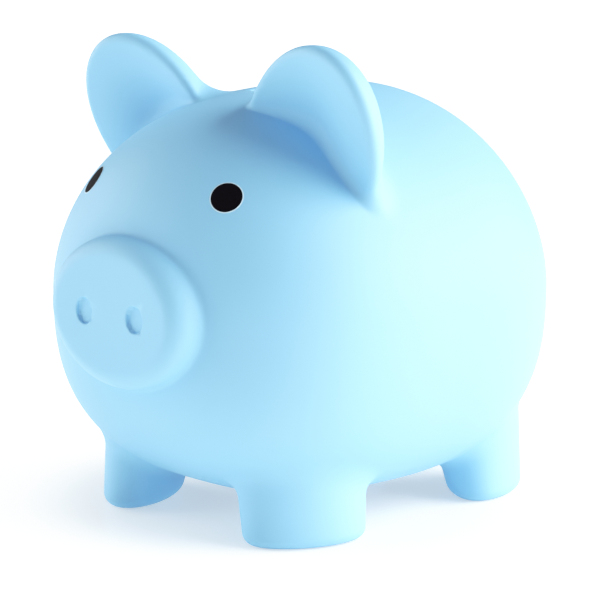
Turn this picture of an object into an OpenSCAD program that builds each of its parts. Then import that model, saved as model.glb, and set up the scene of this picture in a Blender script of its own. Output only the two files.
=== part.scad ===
// Hollow soft-vinyl piggy bank with a coin slot in its back and a pull-out stopper in its belly.
// Millimetres. The pig stands on Z = 0 and looks along -Y, and its own left side is +X.
// The origin is on the floor, under the middle of the pig's length and width.

/* [Body] */
// Length of the body, without snout and tail
body_length = 142; // [134:1:150]
// Width of the body at its widest
body_width = 134; // [128:1:138]
// Height of the back above the floor
back_height = 129; // [125:1:133]
// Gap between the floor and the lowest line of the belly
belly_gap = 6; // [5.5:0.5:7]
// Thickness of the vinyl wall
wall = 3; // [2.6:0.1:3.2]

/* [Snout] */
// How far the snout stands out of the face
snout_depth = 6; // [4:0.5:8]
// Width of the snout where it leaves the face
snout_width = 62; // [54:1:64]
// Height of the snout where it leaves the face
snout_height = 45; // [40:1:48]
// Distance between the nostrils' centres
nostril_spacing = 21.6; // [18:0.2:24]

/* [Ears] */
// Width of an ear along its root
ear_width = 48; // [42:1:50]
// How far an ear rises from the middle of its root
ear_rise = 31; // [27:1:33]
// Thickness of an ear at its root
ear_thickness = 14; // [11:0.5:15]

/* [Eyes] */
// Diameter of a printed eye
eye_diameter = 9.2; // [7:0.2:11]
// Distance between the eyes' centres
eye_spacing = 57.4; // [50:0.2:62]
// Height of the eyes above the floor
eye_height = 102; // [96:1:106]

/* [Feet] */
// Length of a foot's oval sole
foot_length = 37; // [33:1:38]
// Width of a foot's oval sole
foot_width = 21.4; // [19:0.2:23]
// Distance between a left and a right foot's centres
foot_track = 71; // [68:1:74]
// Distance between a front and a rear foot's centres
foot_base = 81.6; // [78:0.2:84]

/* [Money] */
// Length of the coin slot
slot_length = 38; // [32:1:42]
// Width of the coin slot
slot_width = 5; // [4.6:0.1:6]
// Diameter of the money hole in the belly
hole_diameter = 38; // [36:1:38]

/* [Hidden] */

vinyl_blue = [0.55, 0.81, 0.97];
stopper_blue = [0.50, 0.77, 0.94];
ink_black = [0.03, 0.03, 0.035];

// Body
tail_relief = 4;                                  // how far the curled tail stands out of the rump
body_y = (snout_depth - tail_relief) / 2;         // sets snout and tail equally far from the origin
body_radius = (back_height - belly_gap) / 2;
body_z = belly_gap + body_radius;
body_power = 2.75;                                // 2 would be an ellipsoid, more is squarer in profile
rear_growth = 0.036;                              // the rear is this much fatter than the middle
profile_steps = 26;

// Snout
snout_z = body_z;
snout_face_y = body_y - body_length / 2 - snout_depth;
snout_length = 24;
snout_edge = 5;
snout_draft = 4;                                  // how much smaller its radius is at the front
nostril_width = 7.4;
nostril_height = 8.6;
nostril_depth = 2.4;

// Ears
ear_x = 32.5;
ear_y = body_y - 29.5;
ear_z = 114.5;
ear_roll = 23;                                    // the root falls this much towards the outside
ear_lean = 11;                                    // the tip leans this much forward
ear_turn = 7;                                     // the front face looks this much to the outside
ear_cup_radius = 50;
ear_cup_depth = 3;

// Eyes
eye_ink = 0.25;                                   // thickness of the printed ink

// Feet
foot_shift = 7.5;                                 // the feet sit this much behind the body's middle
foot_turn = 27;                                   // their narrow sides point this much off the side
leg_height = 44;                                  // above this, inside the body, a leg closes in
leg_crown = 60;                                   // and here it ends
leg_growth = 0.15;                                // a leg is this much thicker up there than at its sole
leg_splay = 0.16;                                 // how much a foot stands out for each unit of height
foot_edge = 0.3;                                  // rounding of the sole's edge, as a share of its radius
sole_trim = 0.4;                                  // cut off flat under each leg

// Tail
tail_curl_radius = 6.5;
tail_thickness = 4.6;
tail_tip = 5.4;                                   // its ends are a little thicker
tail_height = body_z + 4;
tail_turn = 300;

// Money hole and stopper
hole_y = body_y + foot_shift;
seat_z = 13;                                      // height of the flat seat that the stopper closes on
seat_rim = 4;                                     // width of that seat around the hole
flange_gap = 0.3;
flange_thickness = 2.5;
neck_gap = 0.3;
neck_height = 11.5;
neck_draft = 0.5;
neck_wall = 2.1;
grip_radius = 12.5;
grip_depth = 5.5;
grip_draft = 1.5;
grip_bar = 5;
grip_bar_height = 3;

// Facets
fine = 96;
medium = 48;
past = 1;                                         // how far a cutting solid runs past a face
far = 200;

// ---- Body ----------------------------------------------------------------------------------

// Point of the body's profile at latitude s: [radius, distance along the body]
function profile_point(s, inset) =
    let (
        along = sign(s) * pow(abs(sin(s)), 2 / body_power),
        round = pow(cos(s), 2 / body_power)
    )
    [(body_radius - inset) * round * (1 + rear_growth * along), (body_length / 2 - inset) * along];

// The body's plump form, drawn in by some amount on all sides
module body_form(inset) {
    inner_steps = [for (i = [1:profile_steps - 1]) profile_point(-90 + 180 * i / profile_steps, inset)];
    nose = [0, inset - body_length / 2];
    rump = [0, body_length / 2 - inset];
    widening = (body_width / 2 - inset) / (body_radius - inset) / (1 + rear_growth / 3);
    translate([0, body_y, body_z])
        scale([widening, 1, 1])
            rotate([-90, 0, 0])
                rotate_extrude($fn = fine)
                    polygon(concat([nose], inner_steps, [rump]));
}

// ---- Snout ---------------------------------------------------------------------------------

// Oval snout, running back into the head; an inset form makes its hollow
module snout_form(inset) {
    radius = snout_width / 2 - inset;
    front = radius - snout_draft;
    edge = snout_edge - inset / 2;
    squash = (snout_height / 2 - inset) / radius;
    corner = [for (a = [0:15:90]) [front - edge + edge * sin(a), inset + edge - edge * cos(a)]];
    translate([0, snout_face_y, snout_z])
        scale([1, 1, squash])
            rotate([-90, 0, 0])
                rotate_extrude($fn = fine)
                    polygon(concat(
                        [[0, inset]],
                        corner,
                        [[radius, snout_depth + snout_edge], [radius, snout_length], [0, snout_length]]
                    ));
}

module nostril(side) {
    translate([side * nostril_spacing / 2, snout_face_y + nostril_depth, snout_z])
        rotate([90, 0, 0])
            linear_extrude(nostril_depth + past)
                scale([nostril_width, nostril_height])
                    circle(d = 1, $fn = medium);
}

// ---- Ears ----------------------------------------------------------------------------------

// Rounded ear with a slightly hollow front face, the left one
module ear() {
    half_width = ear_width / 2;
    translate([ear_x, ear_y, ear_z])
        rotate([0, 0, ear_turn])
            rotate([ear_lean, 0, 0])
                rotate([0, ear_roll, 0])
                    difference() {
                        scale([1, ear_thickness / half_width, ear_rise / half_width])
                            sphere(r = half_width, $fn = fine);
                        translate([-far / 2, -far, -far / 2])
                            cube(far);
                        translate([0, ear_cup_depth - ear_cup_radius, ear_rise / 3])
                            sphere(r = ear_cup_radius, $fn = fine);
                    }
}

// ---- Legs ----------------------------------------------------------------------------------

// Stubby oval leg with a flat sole and a rounded edge; an inset form makes its hollow
module leg_form(side, end, inset) {
    corner = [for (a = [0:18:90]) [1 - foot_edge + foot_edge * sin(a), foot_edge * (1 - cos(a))]];
    half_width = foot_width / 2 - inset;
    half_length = foot_length / 2 - inset;
    edge_height = foot_width / 2;
    bottom = inset - sole_trim;
    translate([side * foot_track / 2, hole_y + end * foot_base / 2, 0])
        multmatrix([[1, 0, -side * leg_splay, 0], [0, 1, -end * leg_splay, 0], [0, 0, 1, 0], [0, 0, 0, 1]])
            rotate([0, 0, atan2(end * sin(foot_turn), side * cos(foot_turn))])
                scale([half_width, half_length, 1])
                    rotate_extrude($fn = fine)
                        polygon(concat(
                            [[0, bottom]],
                            [for (p = corner) [p[0], bottom + edge_height * p[1]]],
                            [[1 + leg_growth, leg_height], [0, leg_crown]]
                        ));
}

module legs(inset) {
    for (side = [-1, 1], end = [-1, 1])
        leg_form(side, end, inset);
}

// ---- Tail ----------------------------------------------------------------------------------

// Curl that stands out of the rump in half relief, with a round tip at each end
module tail() {
    translate([0, body_y + body_length / 2 + tail_relief - tail_tip / 2, tail_height])
        rotate([-90, 0, 0]) {
            rotate_extrude(angle = tail_turn, $fn = fine)
                translate([tail_curl_radius, 0])
                    circle(d = tail_thickness, $fn = medium);
            for (turn = [0, tail_turn])
                rotate([0, 0, turn])
                    translate([tail_curl_radius, 0, 0])
                        sphere(d = tail_tip, $fn = medium);
        }
}

// ---- Openings ------------------------------------------------------------------------------

// Coin slot along the middle of the back, with round ends
module coin_slot() {
    translate([0, body_y, body_z])
        linear_extrude(body_radius + past) {
            square([slot_width, slot_length - slot_width], center = true);
            for (end = [-1, 1])
                translate([0, end * (slot_length - slot_width) / 2])
                    circle(d = slot_width, $fn = medium);
        }
}

// Upright round solid on the money hole's axis
module on_hole_axis(radius, bottom, top) {
    translate([0, hole_y, bottom])
        cylinder(r = radius, h = top - bottom, $fn = fine);
}

// ---- Sub-parts -----------------------------------------------------------------------------

module body_shell() {
    recess_radius = hole_diameter / 2 + seat_rim;
    color(vinyl_blue)
        difference() {
            union() {
                difference() {
                    union() {
                        body_form(0);
                        snout_form(0);
                        legs(0);
                        ear();
                        mirror([1, 0, 0])
                            ear();
                        tail();
                    }
                    body_form(wall);
                    translate([0, nostril_depth, 0])
                        snout_form(wall);
                    legs(wall);
                }
                intersection() {
                    body_form(0);
                    on_hole_axis(recess_radius + wall, 0, seat_z + wall);
                }
            }
            translate([-far / 2, -far / 2, -far])
                cube(far);
            on_hole_axis(recess_radius, -past, seat_z);
            on_hole_axis(hole_diameter / 2, -past, seat_z + wall + past);
            coin_slot();
            nostril(-1);
            nostril(1);
        }
}

// Hollow stopper with a flange, a neck that opens into the bank and a bar to pull it by
module belly_stopper() {
    flange_radius = hole_diameter / 2 + seat_rim - flange_gap;
    flange_top = seat_z - flange_gap / 2;
    flange_bottom = flange_top - flange_thickness;
    neck_radius = hole_diameter / 2 - neck_gap;
    neck_top = flange_top + neck_height;
    grip_top = flange_bottom + grip_depth;
    color(stopper_blue) {
        translate([0, hole_y, 0])
            rotate_extrude($fn = fine)
                polygon([
                    [0, grip_top],
                    [grip_radius - grip_draft, grip_top],
                    [grip_radius, flange_bottom],
                    [flange_radius, flange_bottom],
                    [flange_radius, flange_top],
                    [neck_radius, flange_top],
                    [neck_radius - neck_draft, neck_top],
                    [neck_radius - neck_draft - neck_wall, neck_top],
                    [neck_radius - neck_wall, flange_top],
                    [grip_radius + flange_thickness, flange_top],
                    [grip_radius, grip_top + flange_thickness],
                    [0, grip_top + flange_thickness]
                ]);
        translate([-grip_radius, hole_y - grip_bar / 2, flange_bottom])
            cube([2 * grip_radius, grip_bar, grip_bar_height]);
    }
}

// Round black eye, a thin print that follows the face
module eye_print(side) {
    x = eye_spacing / 2;
    z = eye_height - body_z;
    share_x = x / (body_width / 2);
    share_z = z / body_radius;
    share = sqrt(share_x * share_x + share_z * share_z);
    depth = pow(1 - pow(share, body_power), 1 / body_power);
    y = -body_length / 2 * depth;
    steepness = pow(share, body_power - 2);
    out_x = steepness * share_x / (body_width / 2);
    out_y = -pow(depth, body_power - 1) / (body_length / 2);
    out_z = steepness * share_z / body_radius;
    color(ink_black)
        intersection() {
            difference() {
                body_form(-eye_ink);
                body_form(0);
            }
            translate([side * x, body_y + y, eye_height])
                rotate([0, acos(out_z / norm([out_x, out_y, out_z])), atan2(out_y, side * out_x)])
                    cylinder(d = eye_diameter, h = eye_diameter, center = true, $fn = medium);
        }
}

module eye_print_left() {
    eye_print(1);
}

module eye_print_right() {
    eye_print(-1);
}

body_shell();
belly_stopper();
eye_print_left();
eye_print_right();
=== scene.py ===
"""Looks of a soft-vinyl piggy bank: its seamless skin, printed eyes and belly stopper, and a bright studio.

Everything is in metres in the frame's own axes. The pig looks along -Y and its own left side is +X.
"""

import math

import bmesh
import bpy
import numpy as np
import openvdb
from bpy.props import FloatProperty, FloatVectorProperty, PointerProperty
from mathutils import Matrix, Vector


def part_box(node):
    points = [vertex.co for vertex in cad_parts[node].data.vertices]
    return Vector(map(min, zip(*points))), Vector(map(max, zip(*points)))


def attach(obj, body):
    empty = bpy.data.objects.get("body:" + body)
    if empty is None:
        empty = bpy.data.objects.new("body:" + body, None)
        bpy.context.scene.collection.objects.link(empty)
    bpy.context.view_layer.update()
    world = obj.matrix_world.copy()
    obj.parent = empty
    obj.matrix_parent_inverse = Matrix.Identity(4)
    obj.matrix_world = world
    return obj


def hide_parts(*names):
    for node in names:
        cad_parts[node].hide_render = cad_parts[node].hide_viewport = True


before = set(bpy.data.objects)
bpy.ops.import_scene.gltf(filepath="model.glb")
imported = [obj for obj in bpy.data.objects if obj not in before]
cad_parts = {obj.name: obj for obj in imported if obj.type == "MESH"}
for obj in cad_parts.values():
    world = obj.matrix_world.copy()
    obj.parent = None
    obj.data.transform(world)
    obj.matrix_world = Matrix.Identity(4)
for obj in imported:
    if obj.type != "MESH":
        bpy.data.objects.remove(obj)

bl_info = {
    "name": "Piggy Bank",
    "version": (1, 0, 0),
    "blender": (4, 5, 0),
    "location": "3D View > Sidebar > Piggy Bank",
    "description": "Models a soft-vinyl piggy bank with printed eyes and a belly stopper",
    "category": "Add Mesh",
}

MM = 0.001
SHELL_LOW, SHELL_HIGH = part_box("body_shell")
STOPPER_LOW, STOPPER_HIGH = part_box("belly_stopper")
HOLE_Y = (STOPPER_LOW.y + STOPPER_HIGH.y) / 2
FLOOR_SIZE = 12.0
FLOOR_GAP = 0.05 * MM  # keeps the floor and the soles out of one plane
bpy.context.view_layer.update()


def length(name, description, value):
    return FloatProperty(name=name, description=description, default=value, unit="LENGTH", precision=5)


def angle(name, description, degrees):
    return FloatProperty(name=name, description=description, default=math.radians(degrees), subtype="ANGLE")


def share(name, description, value):
    return FloatProperty(name=name, description=description, default=value)


def colour(name, description, value):
    return FloatVectorProperty(name=name, description=description, default=value, subtype="COLOR", size=3)


# ---- Settings --------------------------------------------------------------------------------


class PigBodySettings(bpy.types.PropertyGroup):
    """Sizes of the plump body, the snout and the wall."""

    length: length("Length", "Length of the body without snout and tail", 142.5 * MM)
    width: length("Width", "Width of the body at its widest", 132.6 * MM)
    middle: length("Middle", "Height of the body's widest line", 67.2 * MM)
    centre: length("Centre", "Place of the body's middle along the pig", 1 * MM)
    above: length("Above", "Height of the back over the widest line", 61.9 * MM)
    below: length("Below", "Depth of the belly under the widest line", 60.9 * MM)
    profile: share("Profile", "Squareness of the body seen from the side; 2 is round", 2.745)
    back: share("Back", "Squareness of its section over the widest line", 1.88)
    belly: share("Belly", "Squareness of its section under the widest line", 2.6)
    swell: share("Swell", "How much fatter the rear is than the middle", 0.036)
    wall: length("Wall", "Thickness of the vinyl", 3 * MM)
    snout_middle: length("Snout Middle", "Height of the snout's middle", 67.8 * MM)
    snout_front: length("Snout Front", "Place of the snout's front along the pig", -75.6 * MM)
    snout_width: length("Snout Width", "Width of the snout at its front", 55.2 * MM)
    snout_height: length("Snout Height", "Height of the snout at its front", 42.8 * MM)
    snout_flare: share("Snout Flare", "How much it widens for each unit of depth", 0.28)
    snout_draft: share("Snout Draft", "How much it gets taller for each unit of depth", 0.12)
    snout_edge: length("Snout Edge", "Radius of its front edge", 4.8 * MM)
    snout_fillet: length("Snout Fillet", "Radius of the fillet around its root", 1.0 * MM)
    nostril_width: length("Nostril Width", "Width of a nostril", 7 * MM)
    nostril_height: length("Nostril Height", "Height of a nostril", 7.8 * MM)
    nostril_depth: length("Nostril Depth", "Depth of a nostril", 1.2 * MM)
    nostril_spacing: length("Nostril Spacing", "Distance between the nostrils", 21.6 * MM)


class PigLimbSettings(bpy.types.PropertyGroup):
    """Sizes of the ears, the legs and the tail."""

    ear_side: length("Ear Side", "Distance of an ear's root from the middle", 32.4 * MM)
    ear_place: length("Ear Place", "Place of the ears' roots along the pig", -30.9 * MM)
    ear_root: length("Ear Root", "Height of the middle of an ear's root", 112.6 * MM)
    ear_width: length("Ear Width", "Width of an ear", 50.4 * MM)
    ear_rise: length("Ear Rise", "Height of an ear over the middle of its root", 33.6 * MM)
    ear_depth: length("Ear Depth", "Thickness of an ear at its root", 14 * MM)
    ear_pillow: share("Ear Pillow", "Squareness of an ear's back; 2 is an ellipsoid", 3.2)
    ear_roll: angle("Ear Roll", "How far an ear tips to the outside", 33)
    ear_lean: angle("Ear Lean", "How far an ear leans forward", 10.5)
    ear_turn: angle("Ear Turn", "How far its front face looks to the inside", 3)
    ear_rim: length("Ear Rim", "Radius of the rim of its front face", 3.0 * MM)
    ear_setback: length("Ear Setback", "How far the root lies behind the tip's plane", 2.2 * MM)
    ear_twist: length("Ear Twist", "How much further back the root's outer end lies", 2.6 * MM)
    ear_dish: length("Ear Dish", "Depth of the hollow in its front face", 7.5 * MM)
    ear_dish_width: length("Ear Dish Width", "Reach of that hollow to the sides", 13.5 * MM)
    ear_dish_height: length("Ear Dish Height", "Reach of that hollow upwards", 19 * MM)
    leg_side: length("Leg Side", "Distance of a sole from the middle", 35.5 * MM)
    leg_reach: length("Leg Reach", "Distance of a sole ahead of or behind the stopper", 40.8 * MM)
    leg_narrow: length("Leg Narrow", "Half the width of a sole", 10.9 * MM)
    leg_wide: length("Leg Wide", "Half the length of a sole", 18.5 * MM)
    leg_turn: angle("Leg Turn", "How far a sole's narrow side points off the side", 27)
    leg_edge: length("Leg Edge", "Radius of a sole's edge", 3.2 * MM)
    leg_lean: share("Leg Lean", "How far a leg leans in for each unit of height", 0.17)
    leg_growth: share("Leg Growth", "How much wider it gets for each unit of height", 0.13)
    leg_fillet: length("Leg Fillet", "Radius of the fillet where a leg meets the belly", 4 * MM)
    tail_radius: length("Tail Radius", "Radius of the tail's curl", 6.6 * MM)
    tail_thickness: length("Tail Thickness", "Thickness of the tail at its root", 4.8 * MM)
    tail_height: length("Tail Height", "Height of the middle of the curl", 71.5 * MM)


class PigFinishSettings(bpy.types.PropertyGroup):
    """Sizes of the openings and the prints, and the colours."""

    slot_length: length("Slot Length", "Length of the coin slot", 38 * MM)
    slot_width: length("Slot Width", "Width of the coin slot", 5 * MM)
    hole_radius: length("Hole Radius", "Radius of the money hole", 19 * MM)
    seat_rim: length("Seat Rim", "Width of the seat around it", 4 * MM)
    seat_height: length("Seat Height", "Height of the seat above the floor", 13 * MM)
    eye_spacing: length("Eye Spacing", "Distance between the eyes", 56.8 * MM)
    eye_height: length("Eye Height", "Height of the eyes", 102.4 * MM)
    eye_radius: length("Eye Radius", "Radius of a printed eye", 4.6 * MM)
    eye_outline: length("Eye Outline", "Width of the pale line around it", 0.3 * MM)
    vinyl: colour("Vinyl", "Colour of the vinyl", (0.27, 0.575, 0.87))
    plug: colour("Stopper", "Colour of the stopper", (0.25, 0.52, 0.82))
    ink: colour("Ink", "Colour of the eyes", (0.005, 0.004, 0.006))
    outline: colour("Outline", "Colour of the line around the eyes", (0.52, 0.70, 0.84))


class PigStageSettings(bpy.types.PropertyGroup):
    """The studio around the pig."""

    distance: length("Distance", "Distance of the camera", 688.5 * MM)
    bearing: angle("Bearing", "Bearing of the camera off the pig's front", 44.58)
    elevation: angle("Elevation", "Height of the camera as an angle", 9.2)
    target: length("Target", "Height of the point that the camera circles", 76 * MM)
    aim: angle("Aim", "How far the camera looks below that point", 1.12)
    pan: angle("Pan", "How far the camera looks to the right of it", 0.047)
    focal: share("Focal Length", "Focal length in millimetres on a 36 mm sensor", 134.6)
    ambient: share("Ambient", "Strength of the light from all sides", 0.23)
    # The floor's glow is painted light that keeps the floor white. Under the pig it is dimmed to paint the
    # shadow there, and it rises to the full glow between the two distances below.
    painted_shadow_glow: share("Glow", "Strength of the light table's own light under the pig", 0.36)
    glow_far: share("Far Glow", "Strength of the light table's own light around the pig", 0.95)
    painted_shadow_fade_start: length("Glow Start", "Distance from the middle where the glow starts to rise", 50 * MM)
    painted_shadow_fade_end: length("Glow End", "Distance from the middle where the glow is full", 100 * MM)
    white: share("White", "Brightness that is shown as full white", 1.4)
    key: share("Key", "Strength of the soft light from the right and behind", 6.7)
    key_bearing: angle("Key Bearing", "Bearing of that light off the pig's front", 130)
    key_height: angle("Key Height", "Height of that light as an angle", 20)
    fill: share("Fill", "Strength of the soft light from the left", 3.0)
    fill_bearing: angle("Fill Bearing", "Bearing of that light off the pig's front", -66)
    fill_height: angle("Fill Height", "Height of that light as an angle", 12)
    spread: angle("Spread", "Width of both soft lights as an angle", 62)


def towards(bearing, height):
    """Direction at a bearing off the pig's front and at a height, both angles."""
    flat = math.cos(height)
    return Vector((math.sin(bearing) * flat, -math.cos(bearing) * flat, math.sin(height)))


# ---- Distances -------------------------------------------------------------------------------
# Each takes points as rows and gives their distance from a form, negative inside it.


def superquadric(x, y, z, half, section, profile):
    """Form that is round by one power across X and Z and by another along Y."""
    tiny = 1e-6
    a, b, c = np.abs(x / half[0]), np.abs(y / half[1]), np.abs(z / half[2])
    across = np.maximum(a**section + c**section, tiny)
    whole = np.maximum(across ** (profile / section) + b**profile, tiny)
    size = whole ** (1 / profile)
    outer = whole ** (1 / profile - 1)
    inner = outer * across ** (profile / section - 1)
    slope = np.sqrt(
        (inner * a ** (section - 1) / half[0]) ** 2
        + (inner * c ** (section - 1) / half[2]) ** 2
        + (outer * b ** (profile - 1) / half[1]) ** 2
    )
    return (size - 1) / np.maximum(slope, tiny)


def ellipse(x, y, half_x, half_y):
    """Endless oval bar."""
    size = np.hypot(x / half_x, y / half_y)
    slope = np.hypot(x / half_x**2, y / half_y**2)
    return size * (size - 1) / np.maximum(slope, 1e-6)


def joined(a, b, radius):
    """Both forms, with a fillet where they meet."""
    near = np.hypot(np.maximum(radius - a, 0), np.maximum(radius - b, 0))
    return np.maximum(radius, np.minimum(a, b)) - near


def overlap(a, b, radius):
    """What lies in both forms, with a rounded edge."""
    return -joined(-a, -b, radius)


def carved(a, b, radius):
    """The first form without the second, with a rounded edge."""
    return -joined(-a, b, radius)


def body_distance(p, s):
    y = (p[:, 1] - s.centre) / (s.length / 2)
    z = p[:, 2] - s.middle
    swell = 1 + s.swell * np.clip(y, -1, 1)
    up = z > 0
    half = (s.width / 2 * swell, s.length / 2, np.where(up, s.above, s.below) * swell)
    return superquadric(p[:, 0], p[:, 1] - s.centre, z, half, np.where(up, s.back, s.belly), s.profile)


def snout_distance(p, s):
    depth = p[:, 1] - s.snout_front
    reach = 24 * MM
    back = np.clip(depth, 0, reach)
    width = s.snout_width / 2 + s.snout_flare * back
    side = ellipse(p[:, 0], p[:, 2] - s.snout_middle, width, s.snout_height / 2 + s.snout_draft * back)
    return overlap(overlap(side, -depth, s.snout_edge), depth - reach, MM)


def nostril_distance(p, s):
    depth = p[:, 1] - s.snout_front
    draft = 0.2 * np.clip(depth, 0, s.nostril_depth)
    side = ellipse(
        np.abs(p[:, 0]) - s.nostril_spacing / 2,
        p[:, 2] - s.snout_middle,
        s.nostril_width / 2 - draft,
        s.nostril_height / 2 - draft,
    )
    return overlap(side, depth - s.nostril_depth, 0.4 * MM)


def leg_distance(p, s):
    x, y, z = np.abs(p[:, 0]), np.abs(p[:, 1] - HOLE_Y), p[:, 2]
    cos, sin = math.cos(s.leg_turn), math.sin(s.leg_turn)
    x = x - s.leg_side
    y = y - s.leg_reach
    top = 45 * MM
    height = np.clip(z, 0, top)
    out = x * cos + y * sin + s.leg_lean * height
    along = y * cos - x * sin
    growth = s.leg_growth * height
    side = ellipse(out, along, s.leg_narrow + growth, s.leg_wide + 0.4 * growth)
    return overlap(overlap(side, -z, s.leg_edge), z - top, 5 * MM)


def ear_frame(s):
    """Turn of an ear: its columns are the ear's own outward, backward and upward directions."""
    turn = Matrix.Rotation(-s.ear_turn, 3, "Z") @ Matrix.Rotation(s.ear_lean, 3, "X")
    return np.array(turn @ Matrix.Rotation(s.ear_roll, 3, "Y"))


def ear_distance(p, s):
    """The left ear and its mirror image, and how deep each point lies behind the front face."""
    folded = np.column_stack((np.abs(p[:, 0]) - s.ear_side, p[:, 1] - s.ear_place, p[:, 2] - s.ear_root))
    out, back, up = (folded @ ear_frame(s)).T
    form = superquadric(out, back, up, (s.ear_width / 2, s.ear_depth, s.ear_rise), 2.0, s.ear_pillow)
    low = np.clip(1 - up / s.ear_rise, 0, 1.1)
    bend = low * (s.ear_setback + s.ear_twist * out / (s.ear_width / 2))
    spread = ((out + 5 * MM) / s.ear_dish_width) ** 2 + (up / s.ear_dish_height) ** 2
    front = bend + s.ear_dish * np.exp(-spread) - back
    return overlap(form, front, s.ear_rim), back


def tail_distance(p, s):
    """A curl of one and a quarter turns that gets thinner and tighter towards its tip."""
    thick, thin = s.tail_thickness / 2, s.tail_thickness / 3
    start, sweep, tighter, balls = math.radians(-20), math.radians(410), 0.62, 30
    place = SHELL_HIGH.y - thick
    distance = np.full(len(p), 1.0)
    near = p[:, 1] > place - 15 * MM
    rear = p[near]
    found = distance[near]
    for i in range(balls + 1):
        u = i / balls
        turn = start + u * sweep
        radius = s.tail_radius * (1 - tighter * u)
        centre = (radius * math.cos(turn), place, s.tail_height - radius * math.sin(turn))
        found = np.minimum(found, np.linalg.norm(rear - centre, axis=1) - (thick + u * (thin - thick)))
    distance[near] = found
    return distance


def hollow_form(p, body, limbs):
    """Body, snout and legs with the nostrils pressed in: what the hollow follows."""
    form = joined(body_distance(p, body), snout_distance(p, body), body.snout_fillet)
    form = joined(form, leg_distance(p, limbs), limbs.leg_fillet)
    return carved(form, nostril_distance(p, body), 0.4 * MM)


def skin_distance(p, body, limbs, finish):
    """The whole shell: outside, hollow, coin slot, stopper's seat and money hole."""
    form = hollow_form(p, body, limbs)
    hollow = form + body.wall
    ear, behind = ear_distance(p, limbs)
    rear = np.clip((behind - 1 * MM) / (8 * MM), 0, 1)
    form = joined(form, ear, 1.3 * MM + 6 * MM * rear)
    form = joined(form, tail_distance(p, limbs), 0.9 * MM)
    from_axis = np.hypot(p[:, 0], p[:, 1] - HOLE_Y)
    recess = finish.hole_radius + finish.seat_rim
    boss = overlap(from_axis - recess - body.wall, p[:, 2] - finish.seat_height - body.wall, 2 * MM)
    form = carved(form, carved(hollow, boss, 2 * MM), 0.5 * MM)
    seat = overlap(from_axis - recess, p[:, 2] - finish.seat_height, 0.8 * MM)
    form = carved(form, seat, 0.8 * MM)
    form = carved(form, np.maximum(from_axis - finish.hole_radius, p[:, 2] - body.middle), 0.7 * MM)
    straight = (finish.slot_length - finish.slot_width) / 2
    along = np.maximum(np.abs(p[:, 1] - body.centre) - straight, 0)
    slot = np.maximum(np.hypot(p[:, 0], along) - finish.slot_width / 2, body.middle - p[:, 2])
    return carved(form, slot, 0.6 * MM)


def skin_field(scene):
    """Distance field of the whole skin with the scene's own settings."""

    def field(p):
        return skin_distance(p, scene.pig_body, scene.pig_limbs, scene.pig_finish)

    return field


def gradient(field, p):
    """Steepest rise of a field at each point."""
    step = 0.02 * MM
    corners = np.array([(1, -1, -1), (-1, -1, 1), (-1, 1, -1), (1, 1, 1)], float)
    return sum(np.outer(field(p + step * c), c) for c in corners) / (4 * step)


# ---- Meshes ----------------------------------------------------------------------------------


def vertex_places(bm):
    """Places of a mesh's vertices as rows."""
    return np.array([v.co for v in bm.verts], float)


def place_vertices(bm, places):
    """Moves a mesh's vertices to the rows."""
    for vertex, place in zip(bm.verts, places):
        vertex.co = place


def onto(field, places, rounds):
    """Points moved onto the zero surface of a field."""
    for _ in range(rounds):
        slope = gradient(field, places)
        size = np.maximum((slope**2).sum(1), 0.05)
        move = (field(places) / size)[:, None] * slope
        reach = np.linalg.norm(move, axis=1, keepdims=True)
        places = places - move * np.minimum(1, 1.5 * MM / np.maximum(reach, 1e-9))
    return places


def settle(bm, field, rounds, ease):
    """Evens a mesh out while it keeps to the zero surface of a field."""
    bm.verts.index_update()
    ends = np.array([(e.verts[0].index, e.verts[1].index) for e in bm.edges])
    places = vertex_places(bm)
    count = np.bincount(ends.ravel(), minlength=len(places))
    for _ in range(rounds):
        total = np.zeros_like(places)
        for axis in range(3):
            pull = np.concatenate((places[ends[:, 1], axis], places[ends[:, 0], axis]))
            total[:, axis] = np.bincount(ends.T.ravel(), weights=pull, minlength=len(places))
        places = places + ease * (total / count[:, None] - places)
        places = onto(field, places, 1)
    place_vertices(bm, onto(field, places, 3))


def refine(bm, bend, shortest, wanted):
    """Halves the edges of the wanted faces that lie along tight curves; a bend below 0 takes them all."""
    faces = set()
    for edge in bm.edges:
        if edge.calc_face_angle(0.0) > bend and edge.calc_length() > shortest:
            faces.update(edge.link_faces)
    keep = wanted(np.array([f.calc_center_median() for f in faces]))
    edges = {e for f, kept in zip(list(faces), keep) if kept for e in f.edges}
    edges = [e for e in edges if e.calc_length() > shortest]
    bmesh.ops.subdivide_edges(bm, edges=edges, cuts=1, use_grid_fill=True, use_single_edge=True)


def bmesh_from_field(field, low, high, step):
    """Even quads over the zero surface of a field."""
    axes = [np.arange(a - 2 * step, b + 3 * step, step) for a, b in zip(low, high)]
    grid = np.stack(np.meshgrid(*axes, indexing="ij"), -1)
    values = field(grid.reshape(-1, 3)).reshape(grid.shape[:3])
    volume = openvdb.FloatGrid(3.0)
    volume.copyFromArray((values / step).astype(np.float32))
    points, quads = volume.convertToQuads(0.0)
    if not len(quads):
        raise RuntimeError("the sizes leave no surface to mesh")
    origin = np.array([axis[0] for axis in axes])
    bm = bmesh.new()
    verts = [bm.verts.new(origin + step * point) for point in points]
    for quad in quads:
        bm.faces.new([verts[i] for i in quad])
    bmesh.ops.remove_doubles(bm, verts=bm.verts, dist=0.02 * step)
    bmesh.ops.recalc_face_normals(bm, faces=bm.faces)
    return bm


def finish_piece(bm, name, materials, body):
    """Object in the scene from a finished mesh, riding on a body."""
    mesh = bpy.data.meshes.new(name)
    for face in bm.faces:
        face.smooth = True
    bm.to_mesh(mesh)
    bm.free()
    piece = bpy.data.objects.new(name, mesh)
    for material in materials:
        mesh.materials.append(material)
    bpy.context.scene.collection.objects.link(piece)
    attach(piece, body)
    return piece


# ---- Materials -------------------------------------------------------------------------------


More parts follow.
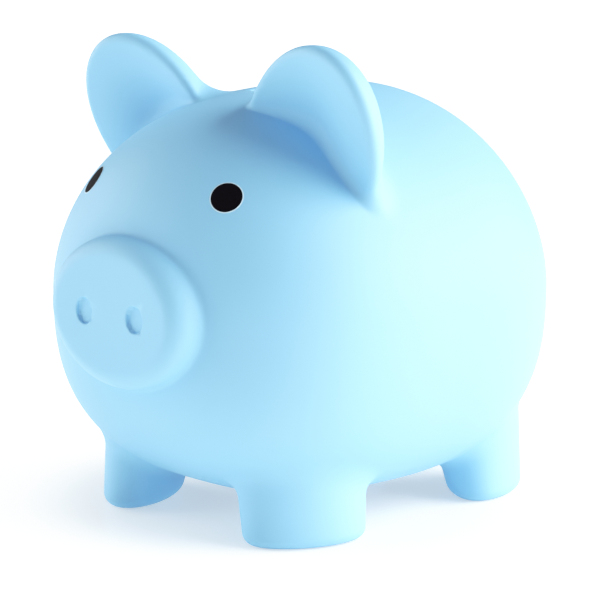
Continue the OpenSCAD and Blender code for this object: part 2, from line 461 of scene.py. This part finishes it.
class Socket:
    """A shader socket that can be added and multiplied."""

    def __init__(self, shader, link):
        self.shader = shader
        self.link = link

    def _maths(self, operation, first, second):
        return self.shader.node("ShaderNodeMath", {"operation": operation}, {0: first, 1: second}, 0)

    def __add__(self, other):
        return self._maths("ADD", self, other)

    __radd__ = __add__

    def __mul__(self, other):
        return self._maths("MULTIPLY", self, other)

    __rmul__ = __mul__


class Shader:
    """Builds the nodes of a material or of the world, which all lead to its own shader."""

    def __init__(self, owner, kind="BSDF_PRINCIPLED"):
        owner.use_nodes = True
        self.tree = owner.node_tree
        self.main = next(n for n in self.tree.nodes if n.type == kind)

    def node(self, kind, settings, values, output):
        """Adds a node: its settings first, then the values or links of its sockets."""
        made = self.tree.nodes.new(kind)
        for key, value in settings.items():
            setattr(made, key, value)
        self.feed(made, values)
        return Socket(self, made.outputs[output])

    def feed(self, node, values):
        """Sets or links the sockets of a node."""
        for key, value in values.items():
            if isinstance(value, Socket):
                self.tree.links.new(value.link, node.inputs[key])
            else:
                node.inputs[key].default_value = value

    def noise(self, scale, detail, roughness):
        """Cloudy pattern that keeps its place on the piece."""
        place = self.node("ShaderNodeTexCoord", {}, {}, "Object")
        values = {"Vector": place, "Scale": scale, "Detail": detail, "Roughness": roughness}
        return self.node("ShaderNodeTexNoise", {}, values, "Fac")

    def mix(self, factor, first, second):
        """Colour between two others."""
        settings = {"data_type": "RGBA"}
        return self.node("ShaderNodeMix", settings, {0: factor, 6: first, 7: second}, 2)

    def bump(self, height, strength, distance):
        """Surface direction of a fine relief."""
        values = {"Height": height, "Strength": strength, "Distance": distance}
        return self.node("ShaderNodeBump", {}, values, "Normal")


def rgba(value, factor=1.0):
    """Colour made lighter or darker by a factor."""
    return (*(min(1.0, factor * part) for part in value), 1.0)


def vinyl_material(name, base):
    """Matte soft-touch vinyl: an even colour, a velvety gloss and a very fine moulded grain."""
    material = bpy.data.materials.new(name)
    shader = Shader(material)
    cloud = shader.noise(28.0, 3.0, 0.5)
    grain = shader.noise(2600.0, 2.0, 0.6)
    ripple = shader.noise(420.0, 2.0, 0.5)
    shader.feed(
        shader.main,
        {
            "Base Color": shader.mix(cloud, rgba(base, 0.985), rgba(base, 1.015)),
            "Roughness": 0.5 + 0.08 * cloud + 0.04 * grain,
            "Normal": shader.bump(grain + 0.6 * ripple, 0.35, 0.02 * MM),
            "Specular IOR Level": 0.35,
            "IOR": 1.5,
        },
    )
    return material


def ink_material(name, base, gloss):
    """Printed ink with the faint unevenness of a thin coat."""
    material = bpy.data.materials.new(name)
    shader = Shader(material)
    coat = shader.noise(900.0, 2.0, 0.5)
    shader.feed(
        shader.main,
        {
            "Base Color": shader.mix(coat, rgba(base, 0.9), rgba(base, 1.1)),
            "Roughness": gloss + 0.1 * coat,
            "Normal": shader.bump(coat, 0.2, 0.01 * MM),
            "Specular IOR Level": 0.02,
        },
    )
    return material


# ---- Operators -------------------------------------------------------------------------------


class PIG_OT_skin(bpy.types.Operator):
    """Model the hollow shell as one seamless skin"""

    bl_idname = "pig.skin"
    bl_label = "Skin"

    def execute(self, context):
        scene = context.scene
        body, limbs, finish = scene.pig_body, scene.pig_limbs, scene.pig_finish
        field = skin_field(scene)

        def beside_slot(p):
            return (np.abs(p[:, 0]) < finish.slot_width) & (p[:, 2] > body.middle)

        def outside(p):
            return beside_slot(p) | (hollow_form(p, body, limbs) > -body.wall / 2)

        def nostrils(p):
            return nostril_distance(p, body) < 1.2 * MM

        def small_forms(p):
            along = np.abs(p[:, 1] - body.centre) < 0.6 * finish.slot_length
            return nostrils(p) | beside_slot(p) & along

        # The slot and the nostrils are made finer first, or evening the mesh out tears their walls.
        bm = bmesh_from_field(field, SHELL_LOW, SHELL_HIGH, 2.0 * MM)
        refine(bm, -1.0, 0.9 * MM, small_forms)
        settle(bm, field, 8, 0.5)
        # Each pass asks for a sharper bend and goes down to shorter edges.
        for bend, shortest in ((0.24, 1.2 * MM), (0.27, 0.7 * MM), (0.33, 0.43 * MM)):
            refine(bm, 0.01, shortest, nostrils)
            settle(bm, field, 2, 0.35)
            refine(bm, bend, shortest, outside)
            settle(bm, field, 3, 0.35)
        refine(bm, 0.01, 0.25 * MM, nostrils)
        settle(bm, field, 3, 0.3)
        bmesh.ops.recalc_face_normals(bm, faces=bm.faces)
        vinyl = vinyl_material("soft_vinyl", finish.vinyl)
        skin = finish_piece(bm, "pig_skin", [vinyl], "pig")
        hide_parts("body_shell")
        return {"FINISHED"}


class PIG_OT_eyes(bpy.types.Operator):
    """Print the two round eyes on the face"""

    bl_idname = "pig.eyes"
    bl_label = "Eyes"

    def execute(self, context):
        finish = context.scene.pig_finish
        field = skin_field(context.scene)
        lift, thickness = 0.05 * MM, 0.25 * MM
        inks = [ink_material("eye_ink", finish.ink, 0.42), ink_material("eye_outline", finish.outline, 0.5)]
        for name, node, side in (("eye_left", "eye_print_left", 1), ("eye_right", "eye_print_right", -1)):
            centre = np.array([(side * finish.eye_spacing / 2, SHELL_LOW.y, finish.eye_height)])
            for _ in range(40):  # slides back onto the face
                centre[0, 1] += 0.7 * field(centre)[0]
            axis = Vector(gradient(field, centre)[0]).normalized()
            turn = axis.to_track_quat("Z", "Y").to_matrix().to_4x4()
            bm = bmesh.new()
            outer = finish.eye_radius + finish.eye_outline
            bmesh.ops.create_circle(bm, cap_ends=True, segments=96, radius=outer)
            disc = bm.faces[:]
            # The first ring is the pale line, and the others let the disc follow the face.
            widths = [finish.eye_outline] + 8 * [finish.eye_radius / 9]
            for ring, width in enumerate(widths):
                made = bmesh.ops.inset_region(bm, faces=disc, thickness=width, use_boundary=True)
                for face in made["faces"]:
                    face.material_index = 1 if ring == 0 else 0
            bmesh.ops.poke(bm, faces=disc)
            bmesh.ops.transform(bm, matrix=Matrix.Translation(Vector(centre[0])) @ turn, verts=bm.verts)
            places = onto(field, vertex_places(bm), 6)
            place_vertices(bm, places + lift * np.array(axis))
            bmesh.ops.recalc_face_normals(bm, faces=bm.faces)
            if bm.faces[0].normal.dot(axis) < 0:
                bmesh.ops.reverse_faces(bm, faces=bm.faces)
            bmesh.ops.solidify(bm, geom=bm.faces[:], thickness=thickness)
            eye = finish_piece(bm, name, inks, "pig")
            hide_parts(node)
        return {"FINISHED"}


class PIG_OT_stopper(bpy.types.Operator):
    """Model the soft belly stopper with its grip bar"""

    bl_idname = "pig.stopper"
    bl_label = "Stopper"

    def execute(self, context):
        finish = context.scene.pig_finish
        low, high = STOPPER_LOW, STOPPER_HIGH
        flange = (high.x - low.x) / 2
        thick, neck_wall, taper = 2.5 * MM, 2.1 * MM, 0.5 * MM
        grip, grip_top = 12.5 * MM, low.z + 5.5 * MM
        bar_width, bar_height = 5 * MM, 3 * MM
        neck = finish.hole_radius - 0.3 * MM
        profile = [
            (0, grip_top),
            (grip - 1.5 * MM, grip_top),
            (grip, low.z),
            (flange, low.z),
            (flange, low.z + thick),
            (neck, low.z + thick),
            (neck - taper, high.z),
            (neck - taper - neck_wall, high.z),
            (neck - neck_wall, low.z + thick),
            (grip + thick, low.z + thick),
            (grip, grip_top + thick),
            (0, grip_top + thick),
        ]
        bm = bmesh.new()
        verts = [bm.verts.new((radius, 0, height)) for radius, height in profile]
        edges = [bm.edges.new(pair) for pair in zip(verts, verts[1:])]
        bmesh.ops.spin(
            bm, geom=verts + edges, axis=(0, 0, 1), cent=(0, 0, 0), angle=math.tau, steps=96, use_merge=True
        )
        bmesh.ops.remove_doubles(bm, verts=bm.verts, dist=0.01 * MM)
        sharp = [e for e in bm.edges if e.calc_face_angle(0.0) > 0.4]
        bmesh.ops.bevel(
            bm,
            geom=sharp,
            offset=0.7 * MM,
            affect="EDGES",
            segments=4,
            profile=0.5,
            material=-1,
            clamp_overlap=True,
        )
        bar = bmesh.ops.create_cube(bm, size=1.0)["verts"]
        bmesh.ops.scale(bm, vec=(2 * grip, bar_width, bar_height), verts=bar)
        bmesh.ops.translate(bm, vec=(0, 0, low.z + bar_height / 2), verts=bar)
        rim = list(dict.fromkeys(e for v in bar for e in v.link_edges))
        bmesh.ops.bevel(bm, geom=rim, offset=0.9 * MM, affect="EDGES", segments=4, profile=0.5, material=-1)
        bmesh.ops.translate(bm, vec=(0, HOLE_Y, 0), verts=bm.verts)
        bmesh.ops.recalc_face_normals(bm, faces=bm.faces)
        vinyl = vinyl_material("stopper_vinyl", finish.plug)
        stopper = finish_piece(bm, "stopper", [vinyl], "stopper")
        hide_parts("belly_stopper")
        return {"FINISHED"}


class PIG_OT_stage(bpy.types.Operator):
    """Set up the white studio, its lights and the camera"""

    bl_idname = "pig.stage"
    bl_label = "Stage"

    def execute(self, context):
        scene = context.scene
        s = scene.pig_stage
        self.add_floor(s)
        self.add_world(scene, s)
        self.add_sun("key", s.key, towards(s.key_bearing, s.key_height), s.spread)
        self.add_sun("fill", s.fill, towards(s.fill_bearing, s.fill_height), s.spread)
        self.add_camera(scene, s)
        self.add_shoulder(scene.view_settings, s.white)
        return {"FINISHED"}

    def add_shoulder(self, view, white):
        """Lets bright tones roll off softly, as a camera does."""
        view.view_transform = "Standard"
        view.use_curve_mapping = True
        view.curve_mapping.white_level = (white, white, white)
        combined = view.curve_mapping.curves[3]
        for tone, shown in ((0.3, 0.3), (0.55, 0.55), (0.8, 0.74), (1.0, 0.86), (1.2, 0.96)):
            combined.points.new(tone / white, shown)
        view.curve_mapping.update()

    def add_floor(self, s):
        """Glowing floor that glows less under the pig than around it. The glow is painted light that keeps
        the floor white, and its dimmer middle is a painted shadow under the pig.
        """
        bm = bmesh.new()
        bmesh.ops.create_grid(bm, x_segments=1, y_segments=1, size=FLOOR_SIZE)
        bmesh.ops.translate(bm, vec=(0, 0, -FLOOR_GAP), verts=bm.verts)
        mesh = bpy.data.meshes.new("floor")
        bm.to_mesh(mesh)
        bm.free()
        floor = bpy.data.objects.new("floor", mesh)
        white = bpy.data.materials.new("glowing_floor_painted_shadow")
        shader = Shader(white)
        place = shader.node("ShaderNodeTexCoord", {}, {}, "Object")
        away = shader.node("ShaderNodeVectorMath", {"operation": "LENGTH"}, {0: place}, "Value")
        reach = {"Value": away, "From Min": s.painted_shadow_fade_start, "From Max": s.painted_shadow_fade_end}
        # Painted shadow mask: 0 under the pig, rising to 1 away from it.
        outside_painted_shadow = shader.node("ShaderNodeMapRange", {"interpolation_type": "SMOOTHSTEP"}, reach, "Result")
        # Glow under the pig as a share of the full glow. This sets how dark the painted shadow is.
        near = s.painted_shadow_glow / s.glow_far
        shader.feed(
            shader.main,
            {
                "Base Color": (0.8, 0.77, 0.72, 1.0),
                "Roughness": 0.4,
                "Specular IOR Level": 0.2,
                "Emission Color": shader.mix(outside_painted_shadow, rgba((near, near, near)), rgba((1.0, 1.0, 1.0))),
                "Emission Strength": s.glow_far,
            },
        )
        mesh.materials.append(white)
        bpy.context.scene.collection.objects.link(floor)

    def add_world(self, scene, s):
        """Weak light from all sides that itself is seen as full white."""
        scene.world = bpy.data.worlds.new("studio")
        shader = Shader(scene.world, "BACKGROUND")
        seen = shader.node("ShaderNodeLightPath", {}, {}, "Is Camera Ray")
        strength = s.ambient + (s.white - s.ambient) * seen
        shader.feed(shader.main, {"Color": rgba((1.0, 1.0, 1.0)), "Strength": strength})

    def add_sun(self, name, strength, direction, spread):
        """Soft distant light that comes from a direction."""
        data = bpy.data.lights.new(name, "SUN")
        data.energy = strength
        data.angle = spread
        light = bpy.data.objects.new(name, data)
        light.rotation_euler = direction.to_track_quat("Z", "Y").to_euler()
        bpy.context.scene.collection.objects.link(light)

    def add_camera(self, scene, s):
        """Camera that circles the pig and looks a little below it."""
        camera = bpy.data.objects.new("camera", bpy.data.cameras.new("camera"))
        camera.data.lens = s.focal
        camera.data.sensor_width = 36.0
        camera.data.clip_start = 0.01
        camera.data.clip_end = 50.0
        away = towards(s.bearing, s.elevation)
        target = Vector((0, scene.pig_body.centre, s.target))
        place = Matrix.Translation(target + s.distance * away)
        turn = away.to_track_quat("Z", "Y").to_matrix().to_4x4()
        look = Matrix.Rotation(-s.aim, 4, "X") @ Matrix.Rotation(-s.pan, 4, "Y")
        camera.matrix_world = place @ turn @ look
        scene.collection.objects.link(camera)
        scene.camera = camera


class PIG_PT_panel(bpy.types.Panel):
    """Steps of the piggy bank, in order"""

    bl_label = "Piggy Bank"
    bl_idname = "PIG_PT_panel"
    bl_space_type = "VIEW_3D"
    bl_region_type = "UI"
    bl_category = "Piggy Bank"

    def draw(self, context):
        for step in STEPS:
            self.layout.operator(step.bl_idname)
        for group in GROUPS:
            settings = getattr(context.scene, group)
            for name in settings.bl_rna.properties.keys():
                if name not in ("rna_type", "name"):
                    self.layout.prop(settings, name)


STEPS = (PIG_OT_skin, PIG_OT_eyes, PIG_OT_stopper, PIG_OT_stage)
GROUPS = {
    "pig_body": PigBodySettings,
    "pig_limbs": PigLimbSettings,
    "pig_finish": PigFinishSettings,
    "pig_stage": PigStageSettings,
}


def register():
    for cls in (*GROUPS.values(), *STEPS, PIG_PT_panel):
        bpy.utils.register_class(cls)
    for name, cls in GROUPS.items():
        setattr(bpy.types.Scene, name, PointerProperty(type=cls))


def unregister():
    for name in GROUPS:
        delattr(bpy.types.Scene, name)
    for cls in reversed((*GROUPS.values(), *STEPS, PIG_PT_panel)):
        bpy.utils.unregister_class(cls)


def main():
    register()
    bpy.ops.pig.skin()
    bpy.ops.pig.eyes()
    bpy.ops.pig.stopper()
    bpy.ops.pig.stage()


if __name__ == "__main__":
    main()
